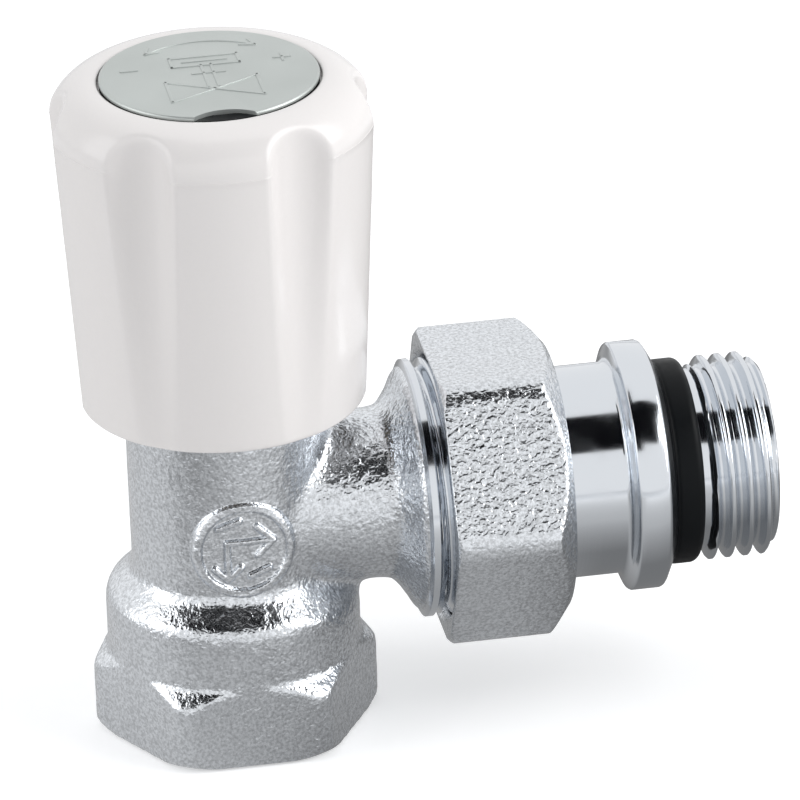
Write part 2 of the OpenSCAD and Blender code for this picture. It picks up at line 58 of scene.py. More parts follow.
camera_data = bpy.data.cameras.new("camera")
camera_data.lens = 388.0
camera_data.sensor_width = 36.0
camera_data.clip_end = 10.0
camera = bpy.data.objects.new("camera", camera_data)
bpy.context.scene.collection.objects.link(camera)
turn = Matrix((right, up, back)).transposed().to_4x4()
camera.matrix_world = Matrix.Translation(AIM + back * DISTANCE) @ turn
bpy.context.scene.camera = camera
bpy.context.scene.view_settings.view_transform = "Standard"

# ---------------------------------------------------------------- floor, backdrop and lights
# A pale floor under the valve, white all round, and three soft lights. Two dark cards overhead and a glowing
# sheet under the valve are seen by reflections only, and give the chrome its black streaks and grey fades.
# The sheet's glow is a painted reflection of the floor, with painted shade near the valve.

FLOOR_GREY = 0.9
FLOOR_GLOW = 0.36
FLOOR_GLOSSY_SHARE = 0.15
AMBIENT = 0.56


def material_nodes(name):
    """A new node material, with its shader, its nodes and a function that links two sockets."""
    made = bpy.data.materials.new(name)
    made.use_nodes = True
    tree = made.node_tree
    return made, tree.nodes["Principled BSDF"], tree.nodes, tree.links.new


def set_sockets(node, **values):
    """Sets a shader's own sockets by name, with _ for a space."""
    for key, value in values.items():
        node.inputs[key.replace("_", " ")].default_value = value


def seen_rays(nodes, link, glossy_share=1.0):
    """1 for camera and transmission rays, glossy_share for glossy ones, and 0 for the rays that light
    the object."""
    path = nodes.new("ShaderNodeLightPath")
    glossy = nodes.new("ShaderNodeMath")
    glossy.operation = "MULTIPLY"
    glossy.inputs[1].default_value = glossy_share
    link(path.outputs["Is Glossy Ray"], glossy.inputs[0])
    either = nodes.new("ShaderNodeMath")
    either.operation = "MAXIMUM"
    link(path.outputs["Is Camera Ray"], either.inputs[0])
    link(glossy.outputs[0], either.inputs[1])
    any_of = nodes.new("ShaderNodeMath")
    any_of.operation = "MAXIMUM"
    link(either.outputs[0], any_of.inputs[0])
    link(path.outputs["Is Transmission Ray"], any_of.inputs[1])
    return any_of.outputs[0]


world = bpy.data.worlds.new("white_studio")
bpy.context.scene.world = world
world.use_nodes = True
world_nodes = world.node_tree.nodes
world_link = world.node_tree.links.new
ambient = world_nodes["Background"]
ambient.inputs["Color"].default_value = (0.95, 0.97, 1.0, 1.0)
ambient.inputs["Strength"].default_value = AMBIENT
white = world_nodes.new("ShaderNodeBackground")
white.inputs["Color"].default_value = (1.0, 1.0, 1.0, 1.0)
white.inputs["Strength"].default_value = 1.0
world_mix = world_nodes.new("ShaderNodeMixShader")
world_link(seen_rays(world_nodes, world_link), world_mix.inputs[0])
world_link(ambient.outputs[0], world_mix.inputs[1])
world_link(white.outputs[0], world_mix.inputs[2])
world_link(world_mix.outputs[0], world_nodes["World Output"].inputs["Surface"])


def flat_sheet(name, size, matrix):
    """A flat sheet that belongs to the studio and not to the valve."""
    mesh = bpy.data.meshes.new(name)
    sheet = bmesh.new()
    bmesh.ops.create_grid(sheet, x_segments=1, y_segments=1, size=0.5)
    bmesh.ops.scale(sheet, vec=(size[0], size[1], 1.0), verts=sheet.verts)
    bmesh.ops.transform(sheet, matrix=matrix, verts=sheet.verts)
    sheet.to_mesh(mesh)
    sheet.free()
    thing = bpy.data.objects.new(name, mesh)
    bpy.context.scene.collection.objects.link(thing)
    return thing


floor = flat_sheet("floor", (3.0, 3.0), Matrix.Translation((0.0, 0.0, -0.0002)))
floor_material, floor_shader, nodes, link = material_nodes("pale_floor")
set_sockets(floor_shader, Base_Color=(FLOOR_GREY, FLOOR_GREY, FLOOR_GREY, 1.0), Roughness=0.9,
            Specular_IOR_Level=0.0)
glow = nodes.new("ShaderNodeEmission")
glow.inputs["Color"].default_value = (1.0, 1.0, 1.0, 1.0)
glow.inputs["Strength"].default_value = FLOOR_GLOW
lit = nodes.new("ShaderNodeAddShader")
link(floor_shader.outputs[0], lit.inputs[0])
link(glow.outputs[0], lit.inputs[1])
floor_mix = nodes.new("ShaderNodeMixShader")
link(seen_rays(nodes, link, FLOOR_GLOSSY_SHARE), floor_mix.inputs[0])
link(floor_shader.outputs[0], floor_mix.inputs[1])
link(lit.outputs[0], floor_mix.inputs[2])
link(floor_mix.outputs[0], nodes["Material Output"].inputs["Surface"])
floor.data.materials.append(floor_material)

card_material, card_shader, _, _ = material_nodes("dark_card")
set_sockets(card_shader, Base_Color=(0.004, 0.004, 0.005, 1.0), Roughness=0.9, Specular_IOR_Level=0.0)
# A glowing sheet seen only in reflections: a painted reflection of the floor, with the valve's painted shade
# on it
floor_reflection_material, floor_reflection_shader, nodes, link = material_nodes("painted_floor_reflection")
set_sockets(floor_reflection_shader, Base_Color=(0.0, 0.0, 0.0, 1.0), Roughness=0.9, Specular_IOR_Level=0.0,
            Emission_Strength=1.0)
place = nodes.new("ShaderNodeTexCoord")
apart = nodes.new("ShaderNodeSeparateXYZ")
link(place.outputs["Object"], apart.inputs[0])
# Painted floor shade, seen in reflection: near the valve the sheet darkens from left to right, where the
# valve shades the floor; in front it brightens with distance and to the right
along_x = nodes.new("ShaderNodeMapRange")
set_sockets(along_x, From_Min=-0.03, From_Max=0.045)
link(apart.outputs["X"], along_x.inputs["Value"])
near = nodes.new("ShaderNodeValToRGB")
near.color_ramp.elements[0].position = 0.067
near.color_ramp.elements[0].color = (0.68, 0.68, 0.68, 1.0)
near.color_ramp.elements[1].position = 0.92
near.color_ramp.elements[1].color = (0.22, 0.22, 0.22, 1.0)
for position, grey in ((0.32, 0.55), (0.507, 0.31), (0.773, 0.42)):
    stop = near.color_ramp.elements.new(position)
    stop.color = (grey, grey, grey, 1.0)
link(along_x.outputs["Result"], near.inputs["Fac"])
front = nodes.new("ShaderNodeMapRange")
set_sockets(front, From_Min=-0.2, From_Max=-0.045, To_Min=0.9, To_Max=0.5)
link(apart.outputs["Y"], front.inputs["Value"])
sideways = nodes.new("ShaderNodeMapRange")
set_sockets(sideways, From_Min=-0.045, From_Max=0.026, To_Min=0.7, To_Max=1.15)
link(apart.outputs["X"], sideways.inputs["Value"])
front_level = nodes.new("ShaderNodeMath")
front_level.operation = "MULTIPLY"
link(front.outputs["Result"], front_level.inputs[0])
link(sideways.outputs["Result"], front_level.inputs[1])
towards = nodes.new("ShaderNodeMapRange")
set_sockets(towards, From_Min=-0.045, From_Max=-0.014)
link(apart.outputs["Y"], towards.inputs["Value"])
blend = nodes.new("ShaderNodeMix")
blend.data_type = "RGBA"
# A Mix node has a set of sockets with the same names for each type, so the colour ones go by number
MIX_FACTOR = 0
MIX_COLOUR_A = 6
MIX_COLOUR_B = 7
MIX_COLOUR_RESULT = 2
link(towards.outputs["Result"], blend.inputs[MIX_FACTOR])
link(front_level.outputs[0], blend.inputs[MIX_COLOUR_A])
link(near.outputs["Color"], blend.inputs[MIX_COLOUR_B])
link(blend.outputs[MIX_COLOUR_RESULT], floor_reflection_shader.inputs["Emission Color"])

# The name, size and place of each sheet in metres, and its finish
for name, size, matrix, finish in (
        ("painted_floor_reflection", (0.40, 0.40), Matrix.Translation((0.03, -0.06, 0.0)), floor_reflection_material),
        ("dark_card_over", (0.70, 0.46), Matrix.Translation((-0.02, -0.27, 0.5)), card_material),
        ("dark_card_left", (0.35, 0.68), Matrix.Translation((-0.245, -0.27, 0.502)), card_material)):
    card = flat_sheet(name, size, matrix)
    card.data.materials.append(finish)
    card.visible_diffuse = False
    card.visible_shadow = False
    card.visible_camera = False


def soft_light(name, place, size, watts):
    """A soft box of a size in metres that points at the valve."""
    data = bpy.data.lights.new(name, "AREA")
    data.shape = "RECTANGLE"
    data.size = size[0]
    data.size_y = size[1]
    data.energy = watts
    lamp = bpy.data.objects.new(name, data)
    bpy.context.scene.collection.objects.link(lamp)
    place = Vector(place)
    aimed = (AIM - place).to_track_quat("-Z", "Y").to_matrix().to_4x4()
    lamp.matrix_world = Matrix.Translation(place) @ aimed
    return lamp


soft_light("key_light", (0.62, -0.22, 0.42), (0.6, 0.6), 3.4)
soft_light("fill_light", (-0.66, -0.02, 0.36), (0.5, 0.6), 1.3)
top_light = soft_light("top_light", (0.0, 0.30, 0.75), (0.6, 0.6), 0.7)
# Chrome that faces up would show the top light as a burnt-out patch
top_light.visible_glossy = False

# ---------------------------------------------------------------- valve body
# The body is hot-forged brass, bead-blasted and chromed: a hexagon for the spanner, a bulge over the inlet
# thread, a neck for the headwork and a branch to the union. Its skin is grainy and its edges are soft.

INLET_ROOT_R = 10.4775
INLET_DEPTH = 11.5
HEX_FLAT_R = 12.995
HEX_CORNER_R = 14.86
HEX_LOW_CHAMFER = 0.9
HEX_TOP = 6.7
HEX_CHAMFER_TOP = 8.6
HEX_CORNER_ROUND = 1.3
BULGE_R = 12.965
BULGE_TOP = 14.2
BULGE_ROUND = 1.3
SHOULDER_TOP = 18.4
SHOULDER_ROUND = 1.5
NECK_R = 10.12
NECK_TOP = 38.0
OUTLET_Z = 23.13
BRANCH_R = 8.73
FLARE_X = 15.6
STOP_RING_X = 18.9
UNION_R = 13.2205
UNION_FACE_X = 28.5
PASSAGE_R = 6.0
SEAT_R = 5.0
SEAT_RIM_R = 6.0
SEAT_TOP = 16.0
SOCKET_R = 10.2
SOCKET_X = 23.5
CHAMBER_R = 7.6
CHAMBER_Z = 15.0
HEADWORK_R = 8.42
HEADWORK_Z = 29.5
MARK_BOSS_R = 4.9
MARK_BOSS_ROOT_R = 5.3
MARK_BOSS_DEPTH = 6.0
MARK_BOSS_INSET = 3.1
BODY_VOXEL = 0.27
BODY_GRAIN_H = 0.026
BODY_GRAIN_SIZE = 0.95
OUTLET_AXIS = Vector((0.0, 0.0, OUTLET_Z)) * MM
AXIS_X = Vector((1.0, 0.0, 0.0))
AXIS_Z = Vector((0.0, 0.0, 1.0))


def arc_points(along, radius, size_along, size_radius, start, end, count):
    """Points of an ellipse's arc in a profile: the angle is 0 along the axis and 90 away from it."""
    points = []
    for i in range(count + 1):
        angle = math.radians(start + (end - start) * i / count)
        points.append((along + size_along * math.cos(angle), radius + size_radius * math.sin(angle)))
    return points


def turned(profile, axis, steps=96):
    """A bmesh turned on the valve axis (Z) or the outlet axis (X) from a closed profile of
    (along, radius) points in millimetres."""
    made = bmesh.new()
    verts = []
    for along, radius in profile:
        if axis is AXIS_Z:
            verts.append(made.verts.new(Vector((radius, 0.0, along)) * MM))
        else:
            verts.append(made.verts.new(Vector((along, 0.0, OUTLET_Z + radius)) * MM))
    edges = [made.edges.new(pair) for pair in zip(verts, verts[1:])]
    edges.append(made.edges.new((verts[-1], verts[0])))
    centre = Vector((0.0, 0.0, 0.0)) if axis is AXIS_Z else OUTLET_AXIS
    bmesh.ops.spin(made, geom=verts + edges, cent=centre, axis=axis, dvec=(0.0, 0.0, 0.0),
                   angle=2.0 * math.pi, steps=steps, use_merge=True)
    bmesh.ops.remove_doubles(made, verts=made.verts, dist=1e-7)
    bmesh.ops.recalc_face_normals(made, faces=made.faces)
    return made


def new_piece(name, made, smooth_angle=40.0):
    """Turns a bmesh into an object at the origin, smooth except over sharp edges."""
    mesh = bpy.data.meshes.new(name)
    made.to_mesh(mesh)
    made.free()
    mesh.shade_smooth()
    mesh.set_sharp_from_angle(angle=math.radians(smooth_angle))
    piece = bpy.data.objects.new(name, mesh)
    bpy.context.scene.collection.objects.link(piece)
    return piece


def keep_result(piece, smooth_angle=40.0):
    """Replaces a piece's mesh with what its modifiers make of it, and removes them."""
    depsgraph = bpy.context.evaluated_depsgraph_get()
    mesh = bpy.data.meshes.new_from_object(piece.evaluated_get(depsgraph))
    piece.modifiers.clear()
    old = piece.data
    piece.data = mesh
    mesh.name = piece.name
    bpy.data.meshes.remove(old)
    mesh.shade_smooth()
    mesh.set_sharp_from_angle(angle=math.radians(smooth_angle))


def combine(piece, made, operation="DIFFERENCE", smooth_angle=40.0):
    """Cuts a bmesh out of a piece, or joins or intersects them."""
    tool = new_piece("tool", made)
    step = piece.modifiers.new("combine", "BOOLEAN")
    step.operation = operation
    step.object = tool
    step.solver = "EXACT"
    keep_result(piece, smooth_angle)
    bpy.data.objects.remove(tool)


def hexagon_bar(across_flats_r, corner_round, start, end, axis, corner_angle=0.0):
    """A hexagonal bar with rounded corners, from start to end in millimetres along an axis."""
    made = bmesh.new()
    corner_r = across_flats_r / math.cos(math.pi / 6) * MM
    bmesh.ops.create_cone(made, cap_ends=True, segments=6, radius1=corner_r, radius2=corner_r,
                          depth=(end - start) * MM)
    upright = [edge for edge in made.edges
               if abs(edge.verts[0].co.z - edge.verts[1].co.z) > 0.5 * (end - start) * MM]
    bmesh.ops.bevel(made, geom=upright, offset=corner_round * MM, segments=4, affect="EDGES", profile=0.5,
                    material=-1)
    place = Matrix.Translation(Vector((0.0, 0.0, (start + end) / 2.0)) * MM)
    place = place @ Matrix.Rotation(math.radians(corner_angle), 4, "Z")
    if axis is AXIS_X:
        place = Matrix.Translation(OUTLET_AXIS) @ Matrix.Rotation(math.pi / 2.0, 4, "Y") @ place
    bmesh.ops.transform(made, matrix=place, verts=made.verts)
    return made


def grain(point, size):
    """A lumpy value near -1 to 1, from two sizes of soft noise in millimetres."""
    coarse = noise.noise(point * (1.0 / (size * MM)))
    fine = noise.noise(point * (1.9 / (size * MM)) + Vector((7.3, 1.1, 4.7)))
    return coarse + 0.6 * fine


def soften(piece, times, factor=0.5, chosen=None):
    """Relaxes a piece's mesh, all over or only where chosen(point) is true."""
    made = bmesh.new()
    made.from_mesh(piece.data)
    verts = [vert for vert in made.verts if chosen is None or chosen(vert.co / MM)]
    for _ in range(times):
        bmesh.ops.smooth_vert(made, verts=verts, factor=factor, use_axis_x=True, use_axis_y=True,
                              use_axis_z=True)
    made.to_mesh(piece.data)
    made.free()


def voxels(piece, size):
    """Rebuilds a closed piece as one even mesh of a size in millimetres, so that what overlaps is fused."""
    step = piece.modifiers.new("voxels", "REMESH")
    step.mode = "VOXEL"
    step.voxel_size = size * MM
    step.use_smooth_shade = True
    keep_result(piece, 180.0)


body_hex = turned([(0.0, 0.0), (0.0, HEX_CORNER_R - 1.2), (HEX_LOW_CHAMFER, HEX_CORNER_R),
                   (HEX_TOP, HEX_CORNER_R), (HEX_CHAMFER_TOP, HEX_FLAT_R), (HEX_CHAMFER_TOP, 0.0)], AXIS_Z)
forging = new_piece("valve_body_forging", body_hex)
combine(forging, hexagon_bar(HEX_FLAT_R, HEX_CORNER_ROUND, -1.0, 10.0, AXIS_Z, 90.0), "INTERSECT")
combine(forging, turned(
    [(HEX_TOP, 0.0), (HEX_TOP, BULGE_R)]
    + arc_points(BULGE_TOP - 0.5, 11.665, 2.0, BULGE_ROUND, 90, 20, 8)
    + arc_points(SHOULDER_TOP, NECK_R + SHOULDER_ROUND, 2.0, SHOULDER_ROUND, 200, 270, 6)
    + [(NECK_TOP, NECK_R), (NECK_TOP, 0.0)], AXIS_Z), "UNION")
# The branch flares out to the stop ring
combine(forging, turned(
    [(0.0, 0.0), (0.0, BRANCH_R), (FLARE_X, BRANCH_R), (16.3, 9.2), (16.9, 9.95), (17.6, 11.0), (18.2, 12.2),
     (STOP_RING_X + 0.1, 12.8), (STOP_RING_X + 0.1, 0.0)], AXIS_X), "UNION")
mark_boss = bmesh.new()
bmesh.ops.create_cone(mark_boss, cap_ends=True, segments=64, radius1=MARK_BOSS_R * MM,
                      radius2=MARK_BOSS_ROOT_R * MM, depth=MARK_BOSS_DEPTH * MM)
bmesh.ops.transform(mark_boss, verts=mark_boss.verts, matrix=Matrix.Translation(
    Vector((0.0, -NECK_R + MARK_BOSS_INSET, OUTLET_Z)) * MM) @ Matrix.Rotation(-math.pi / 2.0, 4, "X"))
combine(forging, mark_boss, "UNION")
voxels(forging, BODY_VOXEL)


def near_branch_root(point):
    """Where the branch, the neck and the bulge meet, which the forging die leaves well rounded."""
    away = math.hypot(point.y, point.z - OUTLET_Z)
    return 5.0 < point.x < FLARE_X and away < 13.5 and point.z > 12.0


def above_hexagon(point):
    """The bulge, the neck and the branch, but not the hexagon's edges."""
    return point.z > 9.5


soften(forging, 5)
soften(forging, 4, chosen=above_hexagon)
soften(forging, 34, 0.6, near_branch_root)

# The raised ring and the flow arrow inside it are struck into the die, so they have soft sides.
RING_R = 4.75
RING_HALF_W = 0.42
RING_H = 0.42
ARROW_HALF_W = 0.3
ARROW_H = 0.42
MARK_SIDE_W = 0.3
MARK_FRONT_Y = -6.0
MARK_FINE_R = 5.8
MARK_REACH = 6.5


def step_down(distance, half_width):
    """1 inside a line, falling smoothly to 0 past its edge."""
    t = min(max((distance - half_width) / MARK_SIDE_W + 0.5, 0.0), 1.0)
    return 1.0 - t * t * (3.0 - 2.0 * t)


def to_segment(x, z, ax, az, bx, bz):
    """Distance from a point to a straight stroke."""
    t = ((x - ax) * (bx - ax) + (z - az) * (bz - az)) / ((bx - ax) ** 2 + (bz - az) ** 2)
    t = min(max(t, 0.0), 1.0)
    return math.hypot(x - ax - t * (bx - ax), z - az - t * (bz - az))


# Strokes of the mark: water comes up from the inlet and leaves by the outlet
MARK_STROKES = ((-1.7, -3.2, -1.7, 0.9), (-1.7, 0.9, 3.0, 0.9), (3.0, 0.9, 1.4, 2.5),
                (3.0, 0.9, 1.4, -0.7), (-3.0, -1.9, -1.7, -3.2), (-0.4, -1.9, -1.7, -3.2),
                (0.6, -2.9, 2.5, -2.2), (-2.6, 2.6, -0.4, 3.3))

made = bmesh.new()
made.from_mesh(forging.data)
marked = [edge for edge in made.edges if all(
    vert.co.y < MARK_FRONT_Y * MM
    and math.hypot(vert.co.x, vert.co.z - OUTLET_Z * MM) < MARK_FINE_R * MM for vert in edge.verts)]
bmesh.ops.subdivide_edges(made, edges=marked, cuts=2, use_grid_fill=True, smooth=0.0)
made.normal_update()
normals = [vert.normal.copy() for vert in made.verts]
for vert, normal in zip(made.verts, normals):
    point = vert.co / MM
    # The faces that are turned after forging stay smooth
    if point.z < 0.5 or point.x > 17.9 or point.z > NECK_TOP - 0.5:
        continue
    height = BODY_GRAIN_H * grain(vert.co, BODY_GRAIN_SIZE)
    if point.y < MARK_FRONT_Y and abs(point.z - OUTLET_Z) < MARK_REACH and abs(point.x) < MARK_REACH:
        x, z = point.x, point.z - OUTLET_Z
        ring = step_down(abs(math.hypot(x, z) - RING_R), RING_HALF_W)
        arrow = step_down(min(to_segment(x, z, *stroke) for stroke in MARK_STROKES), ARROW_HALF_W)
        height += RING_H * ring + ARROW_H * arrow
    vert.co += normal * height * MM
made.to_mesh(forging.data)
made.free()

# Inside: the inlet, the seat that stands up in the chamber, the headwork's bore and the outlet's passage
cavity = turned([(-1.0, 0.0), (-1.0, INLET_ROOT_R + 1.5), (0.7, INLET_ROOT_R + 0.05),
                 (INLET_DEPTH + 0.1, INLET_ROOT_R + 0.05), (INLET_DEPTH + 0.1, SEAT_R), (SEAT_TOP, SEAT_R),
                 (SEAT_TOP, SEAT_RIM_R), (CHAMBER_Z, SEAT_RIM_R), (CHAMBER_Z, CHAMBER_R),
                 (HEADWORK_Z, CHAMBER_R), (HEADWORK_Z, HEADWORK_R), (NECK_TOP + 1.0, HEADWORK_R),
                 (NECK_TOP + 1.0, 0.0)], AXIS_Z)
combine(forging, cavity)
combine(forging, turned([(0.0, 0.0), (0.0, PASSAGE_R), (STOP_RING_X + 1.0, PASSAGE_R),
                         (STOP_RING_X + 1.0, 0.0)], AXIS_X))


def forged_chrome():
    """Chrome over a blasted forging: bright, with a fine grain that breaks up what it reflects."""
    made, shader, nodes, link = material_nodes("forged_chrome")
    set_sockets(shader, Metallic=1.0)
    place = nodes.new("ShaderNodeTexCoord")
    fine = nodes.new("ShaderNodeTexNoise")
    set_sockets(fine, Scale=3400.0, Detail=1.5, Roughness=0.5)
    lumps = nodes.new("ShaderNodeTexNoise")
    set_sockets(lumps, Scale=1600.0, Detail=1.0, Roughness=0.5, Distortion=0.4)
    broad = nodes.new("ShaderNodeTexNoise")
    set_sockets(broad, Scale=260.0, Detail=3.0, Roughness=0.5)
    for texture in (fine, lumps, broad):
        link(place.outputs["Object"], texture.inputs["Vector"])
    # The grain's pits hold a little less light than its tops
    pits = nodes.new("ShaderNodeTexNoise")
    set_sockets(pits, Scale=3000.0, Detail=2.0, Roughness=0.6)
    link(place.outputs["Object"], pits.inputs["Vector"])
    colour = nodes.new("ShaderNodeValToRGB")
    colour.color_ramp.elements[0].position = 0.36
    colour.color_ramp.elements[0].color = (0.55, 0.57, 0.595, 1.0)
    colour.color_ramp.elements[1].position = 0.62
    colour.color_ramp.elements[1].color = (0.80, 0.83, 0.87, 1.0)
    link(pits.outputs["Fac"], colour.inputs["Fac"])
    link(colour.outputs["Color"], shader.inputs["Base Color"])
    shine = nodes.new("ShaderNodeMapRange")
    set_sockets(shine, From_Min=0.3, From_Max=0.7, To_Min=0.17, To_Max=0.25)
    link(broad.outputs["Fac"], shine.inputs["Value"])
    link(shine.outputs["Result"], shader.inputs["Roughness"])
    coarse_bump = nodes.new("ShaderNodeBump")
    set_sockets(coarse_bump, Strength=1.0)
    # The branch and the nut are coarser than the body
    apart = nodes.new("ShaderNodeSeparateXYZ")
    link(place.outputs["Object"], apart.inputs[0])
    depth = nodes.new("ShaderNodeMapRange")
    set_sockets(depth, From_Min=0.008, From_Max=0.013, To_Min=0.00010, To_Max=0.00014)
    link(apart.outputs["X"], depth.inputs["Value"])
    link(depth.outputs["Result"], coarse_bump.inputs["Distance"])
    link(lumps.outputs["Fac"], coarse_bump.inputs["Height"])
    bump = nodes.new("ShaderNodeBump")
    set_sockets(bump, Strength=1.0, Distance=0.00005)
    link(fine.outputs["Fac"], bump.inputs["Height"])
    link(coarse_bump.outputs["Normal"], bump.inputs["Normal"])
    link(bump.outputs["Normal"], shader.inputs["Normal"])
    return made


forged = forged_chrome()
forging.data.materials.clear()
forging.data.materials.append(forged)
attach(forging, "valve")
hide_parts("valve_body")

# ---------------------------------------------------------------- union thread and inlet thread
# Both are cut on the lathe after forging: a G 3/4 thread outside the branch, behind a turned ring, and
# a G 1/2 thread inside the inlet. The cut metal is smooth and bright.

PIPE_PITCH = 1.814
PIPE_DEPTH = 1.162
THREAD_POINTS = 14
THREAD_STEPS = 72
STOP_RING_END_X = 19.6
UNION_START_X = 19.5
UNION_FULL_X = 20.4
UNION_RUN_OUT = 0.3
UNION_CREST_X = 21.2
INLET_LINER_R = 8.0
INLET_LINER_Z = 0.75
INLET_CREST_Z = 1.5


def threaded_bar(crest_r, start, end, crest_at, limit, axis=AXIS_X):
    """A closed bar with a right-hand pipe thread from start to end. crest_at is where a crest meets the
    bar's top line, and limit(along) is the largest radius there, for chamfers and run-outs."""
    made = bmesh.new()
    turns = int((end - start) / PIPE_PITCH) + 3
    first = crest_at - PIPE_PITCH * math.ceil((crest_at - start) / PIPE_PITCH + 1.0)
    verts = []
    for i in range(THREAD_POINTS + 1):
        share = i / THREAD_POINTS
        # A clipped wave gives a flat crest and a flat root with straight flanks between them
        wave = 0.5 + 0.62 * math.cos(2.0 * math.pi * share) + 0.05 * math.cos(4.0 * math.pi * share)
        radius = crest_r - PIPE_DEPTH * (1.0 - min(max(wave, 0.0), 1.0))
        verts.append(made.verts.new(Vector((first + share * PIPE_PITCH, 0.0, OUTLET_Z + radius)) * MM))
    edges = [made.edges.new(pair) for pair in zip(verts, verts[1:])]
    bmesh.ops.spin(made, geom=verts + edges, cent=OUTLET_AXIS, axis=AXIS_X,
                   dvec=(PIPE_PITCH * MM / THREAD_STEPS, 0.0, 0.0), angle=2.0 * math.pi * turns,
                   steps=THREAD_STEPS * turns, use_merge=False)
    bmesh.ops.remove_doubles(made, verts=made.verts, dist=4e-6)
    for vert in made.verts:
        out = Vector((0.0, vert.co.y, vert.co.z - OUTLET_Z * MM))
        most = limit(vert.co.x / MM) * MM
        if out.length > most:
            vert.co -= out * (1.0 - most / out.length)
    for place, way in ((start, -1.0), (end, 1.0)):
        bmesh.ops.bisect_plane(made, geom=made.verts[:] + made.edges[:] + made.faces[:], dist=1e-8,
                               plane_co=(place * MM, 0.0, 0.0), plane_no=(way, 0.0, 0.0), clear_outer=True)
    rims = [edge for edge in made.edges if edge.is_boundary]
    bmesh.ops.edgeloop_fill(made, edges=rims)
    bmesh.ops.recalc_face_normals(made, faces=made.faces)
    if axis is AXIS_Z:
        bmesh.ops.transform(made, verts=made.verts, matrix=Matrix.Rotation(-math.pi / 2.0, 4, "Y")
                            @ Matrix.Translation(-OUTLET_AXIS))
    return made


def turned_chrome():
    """Chrome over lathe-turned brass: nearly a mirror, with fine rings round the outlet axis."""
    made, shader, nodes, link = material_nodes("turned_chrome")
    set_sockets(shader, Base_Color=(0.70, 0.73, 0.77, 1.0), Metallic=1.0)
    place = nodes.new("ShaderNodeTexCoord")
    stretch = nodes.new("ShaderNodeMapping")
    set_sockets(stretch, Scale=(4200.0, 90.0, 90.0))
    link(place.outputs["Object"], stretch.inputs["Vector"])
    rings = nodes.new("ShaderNodeTexNoise")
    set_sockets(rings, Scale=1.0, Detail=3.0, Roughness=0.6)
    link(stretch.outputs["Vector"], rings.inputs["Vector"])
    smear = nodes.new("ShaderNodeTexNoise")
    set_sockets(smear, Scale=420.0, Detail=2.0, Roughness=0.5)
    link(place.outputs["Object"], smear.inputs["Vector"])
    shine = nodes.new("ShaderNodeMapRange")
    set_sockets(shine, From_Min=0.3, From_Max=0.7, To_Min=0.08, To_Max=0.17)
    link(smear.outputs["Fac"], shine.inputs["Value"])
    link(shine.outputs["Result"], shader.inputs["Roughness"])
    bump = nodes.new("ShaderNodeBump")
    set_sockets(bump, Strength=0.35, Distance=0.00003)
    link(rings.outputs["Fac"], bump.inputs["Height"])
    link(bump.outputs["Normal"], shader.inputs["Normal"])
    return made


bright = turned_chrome()


def union_limit(along):
    """The union thread runs up to the turned ring and ends in a chamfer."""
    if along < UNION_FULL_X:
        return UNION_R - PIPE_DEPTH * min(max((UNION_FULL_X - along) / UNION_RUN_OUT, 0.0), 1.0)
    return UNION_R - max(along - (UNION_FACE_X - 1.0), 0.0) * 1.1


union_thread = new_piece("valve_body_union_thread", threaded_bar(
    UNION_R - 0.01, UNION_START_X, UNION_FACE_X, UNION_CREST_X, union_limit), 50.0)
combine(union_thread, turned(
    [(STOP_RING_X - 0.25, 0.0), (STOP_RING_X - 0.25, 12.6), (STOP_RING_X + 0.05, UNION_R),
     (STOP_RING_END_X, UNION_R), (19.9, UNION_R - 0.5), (19.9, 0.0)], AXIS_X, 120), "UNION", 50.0)
combine(union_thread, turned(
    [(18.0, 0.0), (18.0, PASSAGE_R), (SOCKET_X, PASSAGE_R), (SOCKET_X, SOCKET_R),
     (UNION_FACE_X - 0.4, SOCKET_R), (UNION_FACE_X + 0.5, SOCKET_R + 0.9), (UNION_FACE_X + 0.5, 0.0)],
    AXIS_X, 96), smooth_angle=50.0)
union_thread.data.materials.clear()
union_thread.data.materials.append(bright)
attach(union_thread, "valve")
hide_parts("valve_body")


def inlet_limit(along):
    """The tap that cuts the inlet thread has no chamfer within the inlet's depth."""
    return 30.0


inlet_thread = new_piece("valve_body_inlet_thread", turned(
    [(INLET_LINER_Z, INLET_LINER_R), (INLET_LINER_Z, INLET_ROOT_R + 0.04), (INLET_DEPTH, INLET_ROOT_R + 0.04),
     (INLET_DEPTH, INLET_LINER_R)], AXIS_Z))
combine(inlet_thread, threaded_bar(
    INLET_ROOT_R - 0.02, -1.0, INLET_DEPTH + 1.0, INLET_CREST_Z, inlet_limit, AXIS_Z), smooth_angle=50.0)
inlet_thread.data.materials.clear()
inlet_thread.data.materials.append(bright)
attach(inlet_thread, "valve")
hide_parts("valve_body")

# ---------------------------------------------------------------- headwork, stem and obturator
# Turned brass parts that the handwheel and the body hide, but for the headwork's hexagon up inside the
# skirt. The soft rings are black rubber and the anti-friction washer is white fluoropolymer.


def turned_brass():
    """Bare turned brass with faint tool rings and a little tarnish."""
    made, shader, nodes, link = material_nodes("turned_brass")
    set_sockets(shader, Metallic=1.0)
    place = nodes.new("ShaderNodeTexCoord")
    tarnish = nodes.new("ShaderNodeTexNoise")
    set_sockets(tarnish, Scale=300.0, Detail=4.0, Roughness=0.6)
    link(place.outputs["Object"], tarnish.inputs["Vector"])
    colour = nodes.new("ShaderNodeValToRGB")
    colour.color_ramp.elements[0].position = 0.3
    colour.color_ramp.elements[0].color = (0.56, 0.39, 0.17, 1.0)
    colour.color_ramp.elements[1].position = 0.7
    colour.color_ramp.elements[1].color = (0.74, 0.56, 0.27, 1.0)
    link(tarnish.outputs["Fac"], colour.inputs["Fac"])
    link(colour.outputs["Color"], shader.inputs["Base Color"])
    shine = nodes.new("ShaderNodeMapRange")
    set_sockets(shine, From_Min=0.3, From_Max=0.7, To_Min=0.32, To_Max=0.2)
    link(tarnish.outputs["Fac"], shine.inputs["Value"])
    link(shine.outputs["Result"], shader.inputs["Roughness"])
    return made


